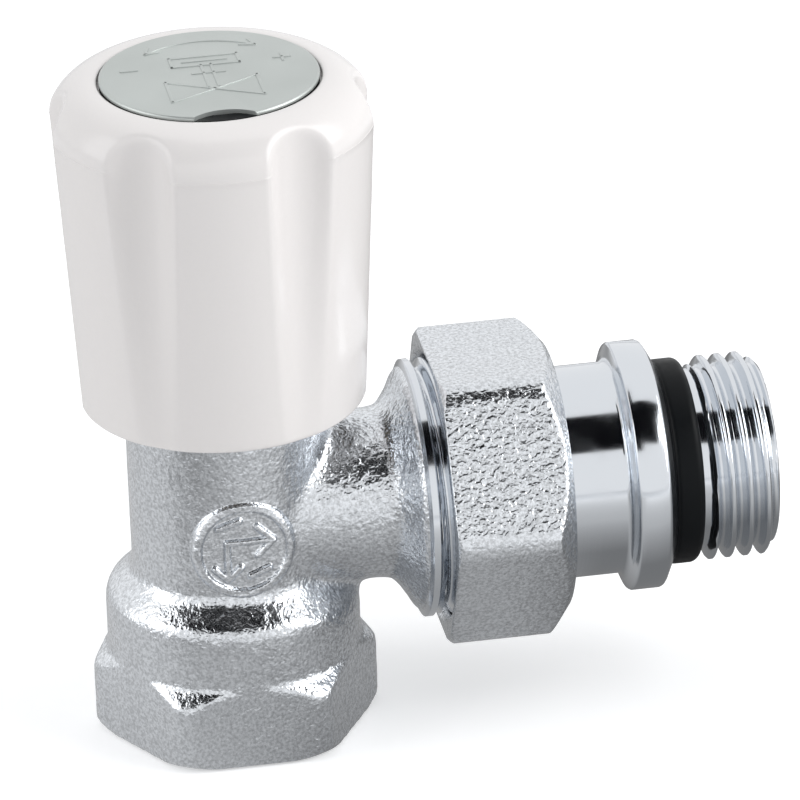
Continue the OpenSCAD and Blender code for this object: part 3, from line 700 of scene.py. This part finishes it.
def grained(name, colour, metallic, rough_from, rough_to, scale, bump_height):
    """A plain finish with a fine even grain: its roughness and its surface both vary a little."""
    made, shader, nodes, link = material_nodes(name)
    set_sockets(shader, Base_Color=(*colour, 1.0), Metallic=metallic)
    place = nodes.new("ShaderNodeTexCoord")
    texture = nodes.new("ShaderNodeTexNoise")
    set_sockets(texture, Scale=scale, Detail=3.0, Roughness=0.55)
    link(place.outputs["Object"], texture.inputs["Vector"])
    shine = nodes.new("ShaderNodeMapRange")
    set_sockets(shine, From_Min=0.3, From_Max=0.7, To_Min=rough_from, To_Max=rough_to)
    link(texture.outputs["Fac"], shine.inputs["Value"])
    link(shine.outputs["Result"], shader.inputs["Roughness"])
    if not metallic:
        set_sockets(shader, Specular_IOR_Level=0.1)
    bump = nodes.new("ShaderNodeBump")
    set_sockets(bump, Strength=0.4, Distance=bump_height * MM)
    link(texture.outputs["Fac"], bump.inputs["Height"])
    link(bump.outputs["Normal"], shader.inputs["Normal"])
    return made


brass = turned_brass()
steel = grained("plain_steel", (0.55, 0.56, 0.58), 1.0, 0.24, 0.38, 900.0, 0.01)
rubber = grained("black_rubber", (0.005, 0.006, 0.007), 0.0, 0.34, 0.5, 700.0, 0.02)
fluoropolymer = grained("white_fluoropolymer", (0.86, 0.86, 0.84), 0.0, 0.4, 0.55, 500.0, 0.02)

CAD_FINISHES = {
    brass: ("bonnet", "gland_nut", "stem", "obturator_disc", "washer_screw", "handwheel_insert"),
    rubber: ("bonnet_o_ring", "stem_o_rings", "seat_washer", "union_o_ring"),
    steel: ("obturator_clip", "screw_washer", "handwheel_screw", "retaining_ring"),
    fluoropolymer: ("gland_washer",),
}
for finish, names in CAD_FINISHES.items():
    for name in names:
        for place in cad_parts[name].material_slots:
            place.material = finish

# ---------------------------------------------------------------- handwheel
# One white moulded cap with six finger flutes that run out towards its lower edge, a rounded shoulder and
# a faint line where the mould's halves meet. A brass insert in its hub fits the stem's square.

KNOB_LOW_Z = 36.0
KNOB_TOP_Z = 70.85
KNOB_LOW_R = 14.51
KNOB_R = 16.44
PARTING_Z = 66.26
RIM_R = 11.55
RECESS_R = 11.25
RECESS_Z = 70.03
POCKET_R = 9.6
HUB_TOP_Z = 60.0
HUB_LOW_Z = 52.0
WEB_Z = 57.5
HUB_R = 7.2
INSERT_R = 5.02
SKIRT_R = 12.41
FLUTES = 6
FLUTE_TURN = math.radians(-5.0)
FLUTE_CUT_R = 4.8
FLUTE_CENTRE_R = 19.21
FLUTE_EDGE = 0.8
RIB_SIZE = (5.4, 1.2, 4.6)
RIB_R = 9.8
RIB_Z = 55.3

outside = arc_points(KNOB_LOW_Z + 0.6, KNOB_LOW_R - 0.6, 0.6, 0.6, 180, 90, 5)
for i in range(1, 36):
    share = i / 36.0
    outside.append((KNOB_LOW_Z + 0.6 + share * (PARTING_Z - KNOB_LOW_Z - 0.6),
                    KNOB_LOW_R + share * (KNOB_R - KNOB_LOW_R)))
outside += [(PARTING_Z - 0.12, KNOB_R), (PARTING_Z - 0.05, KNOB_R + 0.03), (PARTING_Z + 0.05, KNOB_R + 0.03)]
outside += arc_points(PARTING_Z, RIM_R, KNOB_TOP_Z - PARTING_Z, KNOB_R - RIM_R, 89, 4, 34)
inside = [(KNOB_TOP_Z, RECESS_R + 0.25), (KNOB_TOP_Z - 0.08, RECESS_R + 0.07), (KNOB_TOP_Z - 0.2, RECESS_R),
          (RECESS_Z, RECESS_R), (RECESS_Z, POCKET_R), (HUB_TOP_Z, POCKET_R),
          (HUB_TOP_Z, INSERT_R), (HUB_LOW_Z, INSERT_R), (HUB_LOW_Z, HUB_R), (WEB_Z - 0.5, HUB_R),
          (WEB_Z, HUB_R + 0.5), (WEB_Z, SKIRT_R - 0.5), (WEB_Z - 0.5, SKIRT_R), (KNOB_LOW_Z + 0.4, SKIRT_R),
          (KNOB_LOW_Z, SKIRT_R + 0.3)]
made = turned(outside + inside, AXIS_Z, 360)
for vert in made.verts:
    point = vert.co / MM
    radius = math.hypot(point.x, point.y)
    if radius < RIM_R - 0.3 or (radius < 13.0 and point.z < HUB_TOP_Z):
        continue
    angle = math.atan2(point.y, point.x) - FLUTE_TURN
    pitch = 2.0 * math.pi / FLUTES
    off = (angle + pitch / 2.0) % pitch - pitch / 2.0
    sideways = FLUTE_CENTRE_R * math.sin(off)
    if abs(sideways) >= FLUTE_CUT_R:
        continue
    flute = FLUTE_CENTRE_R * math.cos(off) - math.sqrt(FLUTE_CUT_R ** 2 - sideways ** 2)
    gap = max(FLUTE_EDGE - abs(radius - flute), 0.0) / FLUTE_EDGE
    shaped = min(radius, flute) - gap * gap * FLUTE_EDGE * 0.25
    vert.co.x *= shaped / radius
    vert.co.y *= shaped / radius
handwheel = new_piece("handwheel_cap", made, 38.0)


def moulded_white():
    """Glossy white moulded plastic, a touch warm, with the slight waviness of a moulding."""
    made, shader, nodes, link = material_nodes("moulded_white")
    set_sockets(shader, IOR=1.52, Coat_Weight=0.25, Coat_Roughness=0.12)
    place = nodes.new("ShaderNodeTexCoord")
    cloud = nodes.new("ShaderNodeTexNoise")
    set_sockets(cloud, Scale=2600.0, Detail=2.0, Roughness=0.6)
    skin = nodes.new("ShaderNodeTexNoise")
    set_sockets(skin, Scale=900.0, Detail=2.0, Roughness=0.5)
    for texture in (cloud, skin):
        link(place.outputs["Object"], texture.inputs["Vector"])
    colour = nodes.new("ShaderNodeValToRGB")
    colour.color_ramp.elements[0].color = (0.845, 0.812, 0.794, 1.0)
    colour.color_ramp.elements[1].color = (0.865, 0.832, 0.814, 1.0)
    link(cloud.outputs["Fac"], colour.inputs["Fac"])
    link(colour.outputs["Color"], shader.inputs["Base Color"])
    shine = nodes.new("ShaderNodeMapRange")
    set_sockets(shine, From_Min=0.0, From_Max=1.0, To_Min=0.24, To_Max=0.28)
    link(cloud.outputs["Fac"], shine.inputs["Value"])
    link(shine.outputs["Result"], shader.inputs["Roughness"])
    bump = nodes.new("ShaderNodeBump")
    set_sockets(bump, Strength=0.25, Distance=0.00001)
    link(skin.outputs["Fac"], bump.inputs["Height"])
    link(bump.outputs["Normal"], shader.inputs["Normal"])
    return made


plastic = moulded_white()
handwheel.data.materials.append(plastic)
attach(handwheel, "wheel")
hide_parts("handwheel")

made = bmesh.new()
for i in range(FLUTES):
    rib = bmesh.ops.create_cube(made, size=1.0)["verts"]
    bmesh.ops.scale(made, vec=Vector(RIB_SIZE) * MM, verts=rib)
    bmesh.ops.translate(made, vec=Vector((RIB_R, 0.0, RIB_Z)) * MM, verts=rib)
    bmesh.ops.rotate(made, cent=(0.0, 0.0, 0.0), verts=rib, matrix=Matrix.Rotation(
        FLUTE_TURN + (i + 0.5) * 2.0 * math.pi / FLUTES, 3, "Z"))
bmesh.ops.bevel(made, geom=made.edges[:], offset=0.15 * MM, segments=2, affect="EDGES", profile=0.5,
                material=-1)
ribs = new_piece("handwheel_ribs", made)
ribs.data.materials.append(plastic)
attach(ribs, "wheel")
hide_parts("handwheel")

# ---------------------------------------------------------------- cover disc
# A thin satin metal disc snapped into the handwheel's top over its screw. It has a crescent at its front
# edge for a blade, and plain raised lines: a turning arrow and the drawing sign for a valve.

DISC_R = 11.05
DISC_LOW_Z = 70.72
DISC_TOP_Z = 71.15
DISC_EDGE = 0.28
DISC_SMOOTH = 16.0
LIP_LOW_Z = 67.43
LIP_R = 9.5
LINE_W = 0.3
LINE_H = 0.08
CRESCENT_R = 4.62
CRESCENT_Y = -13.97

made = turned([(DISC_LOW_Z, 0.0), (DISC_LOW_Z, LIP_R - 0.9), (LIP_LOW_Z, LIP_R - 0.9), (LIP_LOW_Z, LIP_R),
               (DISC_LOW_Z, LIP_R), (DISC_LOW_Z, DISC_R)]
              + arc_points(DISC_TOP_Z - DISC_EDGE, DISC_R - DISC_EDGE, DISC_EDGE, DISC_EDGE, 90, 0, 8)
              + [(DISC_TOP_Z, 0.0)], AXIS_Z, 180)
disc = new_piece("cover_disc_face", made, DISC_SMOOTH)
blade = bmesh.new()
bmesh.ops.create_cone(blade, cap_ends=True, segments=96, radius1=CRESCENT_R * MM, radius2=CRESCENT_R * MM,
                      depth=4.0 * MM)
bmesh.ops.translate(blade, verts=blade.verts, vec=Vector((0.0, CRESCENT_Y, DISC_TOP_Z)) * MM)
combine(disc, blade, smooth_angle=DISC_SMOOTH)


def raised_stroke(made, ax, ay, bx, by):
    """A raised straight line on the disc's face."""
    length = math.hypot(bx - ax, by - ay)
    bar = bmesh.ops.create_cube(made, size=1.0)["verts"]
    bmesh.ops.scale(made, vec=Vector((length + LINE_W, LINE_W, 2.0 * LINE_H)) * MM, verts=bar)
    bmesh.ops.rotate(made, cent=(0.0, 0.0, 0.0), verts=bar,
                     matrix=Matrix.Rotation(math.atan2(by - ay, bx - ax), 3, "Z"))
    bmesh.ops.translate(made, vec=Vector(((ax + bx) / 2.0, (ay + by) / 2.0, DISC_TOP_Z)) * MM, verts=bar)


def raised_arc(made, radius, start, end):
    """A raised arc on the disc's face, from one angle to another."""
    corners = [(radius - LINE_W / 2, -LINE_H), (radius - LINE_W / 2, LINE_H),
               (radius + LINE_W / 2, LINE_H), (radius + LINE_W / 2, -LINE_H)]
    verts = [made.verts.new(Vector((r, 0.0, DISC_TOP_Z + z)) * MM) for r, z in corners]
    face = made.faces.new(verts)
    bmesh.ops.rotate(made, cent=(0.0, 0.0, 0.0), verts=verts,
                     matrix=Matrix.Rotation(math.radians(start), 3, "Z"))
    bmesh.ops.spin(made, geom=[face, *verts, *face.edges], cent=(0.0, 0.0, 0.0), axis=AXIS_Z,
                   dvec=(0.0, 0.0, 0.0), angle=math.radians(end - start), steps=24, use_merge=False)


made = bmesh.new()
# The sign for a valve, drawn twice its usual size: two triangles point to point, a spindle and a handwheel
for line in ((-4.6, -6.4, -4.6, -1.4), (-4.6, -1.4, 4.6, -6.4), (4.6, -6.4, 4.6, -1.4),
             (4.6, -1.4, -4.6, -6.4), (-0.5, -3.5, -0.5, 2.2), (0.5, -3.5, 0.5, 2.2), (-3.4, 2.2, 3.4, 2.2),
             (-3.4, 4.4, 3.4, 4.4), (-3.4, 2.2, -3.4, 4.4), (3.4, 2.2, 3.4, 4.4), (-2.2, 3.3, 2.2, 3.3),
             (-1.6, 0.2, 1.6, 0.2)):
    raised_stroke(made, *line)
# A two-headed turning arrow round the back, with a minus at one end and a plus at the other
ARROW_R = 8.3
ARROW_START = 48.0
ARROW_END = 132.0
BARB = 1.5
raised_arc(made, ARROW_R, ARROW_START, ARROW_END)
for end, way in ((ARROW_START, 1.0), (ARROW_END, -1.0)):
    tip = Vector((ARROW_R * math.cos(math.radians(end)), ARROW_R * math.sin(math.radians(end))))
    for lean in (30.0, -30.0):
        angle = math.radians(end + way * (90.0 + lean))
        raised_stroke(made, tip.x, tip.y, tip.x + BARB * math.cos(angle), tip.y + BARB * math.sin(angle))
raised_stroke(made, -8.5, 2.4, -6.9, 2.4)
raised_stroke(made, 6.9, 2.4, 8.5, 2.4)
raised_stroke(made, 7.7, 1.6, 7.7, 3.2)
bmesh.ops.recalc_face_normals(made, faces=made.faces)
bmesh.ops.bevel(made, geom=[e for e in made.edges if len(e.link_faces) == 2 and e.calc_face_angle() > 1.0],
                offset=0.05 * MM, segments=2, affect="EDGES", profile=0.5, material=-1)
disc_lines = new_piece("cover_disc_lines", made)


def satin_metal():
    """Satin nickel-silver, faintly green, with soft cloudy reflections."""
    made, shader, nodes, link = material_nodes("satin_metal")
    set_sockets(shader, Metallic=0.75)
    place = nodes.new("ShaderNodeTexCoord")
    cloud = nodes.new("ShaderNodeTexNoise")
    set_sockets(cloud, Scale=110.0, Detail=2.0, Roughness=0.5)
    grit = nodes.new("ShaderNodeTexNoise")
    set_sockets(grit, Scale=3800.0, Detail=2.0, Roughness=0.6)
    for texture in (cloud, grit):
        link(place.outputs["Object"], texture.inputs["Vector"])
    colour = nodes.new("ShaderNodeValToRGB")
    colour.color_ramp.elements[0].position = 0.3
    colour.color_ramp.elements[0].color = (0.48, 0.512, 0.497, 1.0)
    colour.color_ramp.elements[1].position = 0.7
    colour.color_ramp.elements[1].color = (0.555, 0.588, 0.573, 1.0)
    link(cloud.outputs["Fac"], colour.inputs["Fac"])
    link(colour.outputs["Color"], shader.inputs["Base Color"])
    shine = nodes.new("ShaderNodeMapRange")
    set_sockets(shine, From_Min=0.3, From_Max=0.7, To_Min=0.34, To_Max=0.44)
    link(cloud.outputs["Fac"], shine.inputs["Value"])
    link(shine.outputs["Result"], shader.inputs["Roughness"])
    bump = nodes.new("ShaderNodeBump")
    set_sockets(bump, Strength=0.3, Distance=0.000008)
    link(grit.outputs["Fac"], bump.inputs["Height"])
    link(bump.outputs["Normal"], shader.inputs["Normal"])
    return made


satin = satin_metal()
for piece in (disc, disc_lines):
    piece.data.materials.clear()
    piece.data.materials.append(satin)
    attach(piece, "wheel")
    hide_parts("cover_disc")

# A thin black ring under the disc fills the crescent with black: a painted shade for the deep recess there
SHADE_RING_R = DISC_R - 0.05
SHADE_RING_HOLE_R = LIP_R + 0.02
SHADE_RING_LOW_Z = RECESS_Z + 0.01
SHADE_RING_TOP_Z = DISC_LOW_Z - 0.01
made = turned([(SHADE_RING_LOW_Z, SHADE_RING_HOLE_R), (SHADE_RING_LOW_Z, SHADE_RING_R), (SHADE_RING_TOP_Z, SHADE_RING_R), (SHADE_RING_TOP_Z, SHADE_RING_HOLE_R)],
              AXIS_Z, 120)
crescent_shade_ring = new_piece("cover_disc_painted_shade", made)
crescent_shade_ring.data.materials.append(rubber)
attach(crescent_shade_ring, "wheel")
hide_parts("cover_disc")

# ---------------------------------------------------------------- union nut
# A forged and chromed nut that pulls the tailpiece into the body. Its flats keep the forging's grain, and
# its two ends are turned to smooth cones.

NUT_X = 20.95
NUT_END_X = 33.55
NUT_FLAT_R = 14.5
NUT_CORNER_R = 16.6
NUT_CORNER_ROUND = 1.5
NUT_MOUTH_R = 15.7
NUT_MOUTH_CHAMFER = 0.7
NUT_END_R = 13.6
NUT_END_CHAMFER = 2.4
NUT_SHOULDER_X = 30.35
NUT_BORE_R = 10.92
NUT_VOXEL = 0.2
NUT_GRAIN_H = 0.01
NUT_GRAIN_SIZE = 0.7

nut_blank = turned([(NUT_X, 0.0), (NUT_X, NUT_MOUTH_R), (NUT_X + NUT_MOUTH_CHAMFER, NUT_CORNER_R + 0.05),
                    (NUT_END_X - NUT_END_CHAMFER, NUT_CORNER_R + 0.05), (NUT_END_X, NUT_END_R),
                    (NUT_END_X, 0.0)], AXIS_X, 144)
nut = new_piece("union_nut_forging", nut_blank)
combine(nut, hexagon_bar(NUT_FLAT_R, NUT_CORNER_ROUND, NUT_X - 1.0, NUT_END_X + 1.0, AXIS_X), "INTERSECT")
combine(nut, turned([(NUT_X - 1.0, 0.0), (NUT_X - 1.0, UNION_R + 1.9), (NUT_X + 0.6, UNION_R + 0.2),
                     (NUT_SHOULDER_X, UNION_R + 0.2), (NUT_SHOULDER_X, NUT_BORE_R),
                     (NUT_END_X - 0.3, NUT_BORE_R), (NUT_END_X + 1.0, NUT_BORE_R + 1.3),
                     (NUT_END_X + 1.0, 0.0)], AXIS_X, 96))
voxels(nut, NUT_VOXEL)
soften(nut, 1)
made = bmesh.new()
made.from_mesh(nut.data)
made.normal_update()
normals = [vert.normal.copy() for vert in made.verts]
for vert, normal in zip(made.verts, normals):
    point = vert.co / MM
    away = math.hypot(point.y, point.z - OUTLET_Z)
    # The turned cones and the bore stay smooth
    if abs(normal.x) > 0.25 or away < NUT_FLAT_R - 0.4:
        continue
    vert.co += normal * NUT_GRAIN_H * grain(vert.co, NUT_GRAIN_SIZE) * MM
made.to_mesh(nut.data)
made.free()
nut.data.materials.clear()
nut.data.materials.append(forged)
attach(nut, "nut")
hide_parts("union_nut")

# ---------------------------------------------------------------- tailpiece
# Turned and chromed brass: a nose that seals in the body, a barrel under the nut, a collar that meets the
# radiator, a groove for the seal and a G 1/2 thread. A hexagonal key socket in its end drives it.

TAIL_R = 10.87
NOSE_R = 10.15
NOSE_GROOVE_X = 25.3
NOSE_GROOVE_END_X = 26.7
NOSE_GROOVE_R = NOSE_R - 1.2
RING_SEAT_X = 28.75
RING_SEAT_W = 1.6
BARREL_END_X = 39.55
COLLAR_X = 40.3
COLLAR_END_X = 43.5
COLLAR_R = 12.7675
SEAL_X = 44.55
SEAL_END_X = 47.55
SEAL_SEAT_R = 9.28
TAIL_THREAD_R = 10.4775
TAIL_THREAD_X = 48.15
RELIEF_END_X = 48.25
RUN_OUT_X = 48.3
RUN_OUT_END_X = 48.75
TAIL_END_X = 55.35
TAIL_CREST_X = 49.947
TAIL_BORE_R = 6.2
KEY_FLAT_R = 6.5
KEY_DEPTH = 10.0


def tail_limit(along):
    """The radiator thread runs out beside the seal and ends in a chamfer."""
    if along < RUN_OUT_END_X:
        return TAIL_THREAD_R - PIPE_DEPTH - 0.1 + max(along - RUN_OUT_X, 0.0) * 2.8
    return TAIL_THREAD_R - max(along - (TAIL_END_X - 1.05), 0.0) * 1.15


tail = new_piece("tailpiece_turned", threaded_bar(
    TAIL_THREAD_R, TAIL_THREAD_X, TAIL_END_X, TAIL_CREST_X, tail_limit), 50.0)
# From the nose: the O-ring's groove, the retaining ring's groove, the barrel, the collar and the seal's seat
combine(tail, turned(
    [(SOCKET_X + 0.1, 0.0), (SOCKET_X + 0.1, NOSE_R - 0.5), (SOCKET_X + 0.6, NOSE_R), (NOSE_GROOVE_X, NOSE_R),
     (NOSE_GROOVE_X, NOSE_GROOVE_R), (NOSE_GROOVE_END_X, NOSE_GROOVE_R), (NOSE_GROOVE_END_X, NOSE_R),
     (UNION_FACE_X + 0.05, NOSE_R), (UNION_FACE_X + 0.05, TAIL_R), (RING_SEAT_X, TAIL_R),
     (RING_SEAT_X, NOSE_R), (RING_SEAT_X + RING_SEAT_W, NOSE_R), (RING_SEAT_X + RING_SEAT_W, TAIL_R),
     (BARREL_END_X - 0.35, TAIL_R)]
    + arc_points(BARREL_END_X - 0.35, TAIL_R + 1.1, 0.75, 1.1, 270, 350, 8)
    + [(COLLAR_X - 0.12, COLLAR_R - 0.35), (COLLAR_X - 0.02, COLLAR_R - 0.1), (COLLAR_X + 0.15, COLLAR_R),
       (COLLAR_END_X - 0.3, COLLAR_R), (COLLAR_END_X - 0.05, COLLAR_R - 0.12),
       (COLLAR_END_X + 0.08, COLLAR_R - 0.3), (SEAL_X - 0.1, SEAL_SEAT_R + 1.5), (SEAL_X, SEAL_SEAT_R + 1.35),
       (SEAL_X, SEAL_SEAT_R), (SEAL_END_X, SEAL_SEAT_R), (RELIEF_END_X, SEAL_SEAT_R), (RELIEF_END_X, 0.0)],
    AXIS_X, 144), "UNION", 50.0)
combine(tail, turned([(SOCKET_X - 1.0, 0.0), (SOCKET_X - 1.0, TAIL_BORE_R + 1.5),
                      (SOCKET_X + 0.9, TAIL_BORE_R), (TAIL_END_X + 1.0, TAIL_BORE_R),
                      (TAIL_END_X + 1.0, 0.0)], AXIS_X, 96), smooth_angle=50.0)
combine(tail, hexagon_bar(KEY_FLAT_R, 0.3, TAIL_END_X - KEY_DEPTH, TAIL_END_X + 1.0, AXIS_X),
        smooth_angle=50.0)
tail.data.materials.clear()
tail.data.materials.append(bright)
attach(tail, "tail")
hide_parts("tailpiece")

# ---------------------------------------------------------------- radiator seal
# A black rubber ring in the groove between the collar and the thread. It has a flat crown, a rounded
# outer edge and a small lip against the collar.

SEAL_R = 10.555
made = turned(
    [(SEAL_X + 0.02, SEAL_SEAT_R + 0.02), (SEAL_X + 0.02, SEAL_R - 0.3), (SEAL_X + 0.1, SEAL_R - 0.12),
     (SEAL_X + 0.28, SEAL_R - 0.16), (SEAL_X + 0.42, SEAL_R - 0.02), (SEAL_X + 0.6, SEAL_R)]
    + arc_points(SEAL_END_X - 0.9, SEAL_R - 0.8, 0.85, 0.8, 90, 5, 8)
    + [(SEAL_END_X - 0.05, SEAL_SEAT_R + 0.02)], AXIS_X, 120)
seal = new_piece("radiator_seal_ring", made)
seal.data.materials.append(rubber)
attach(seal, "tail")
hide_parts("radiator_seal")
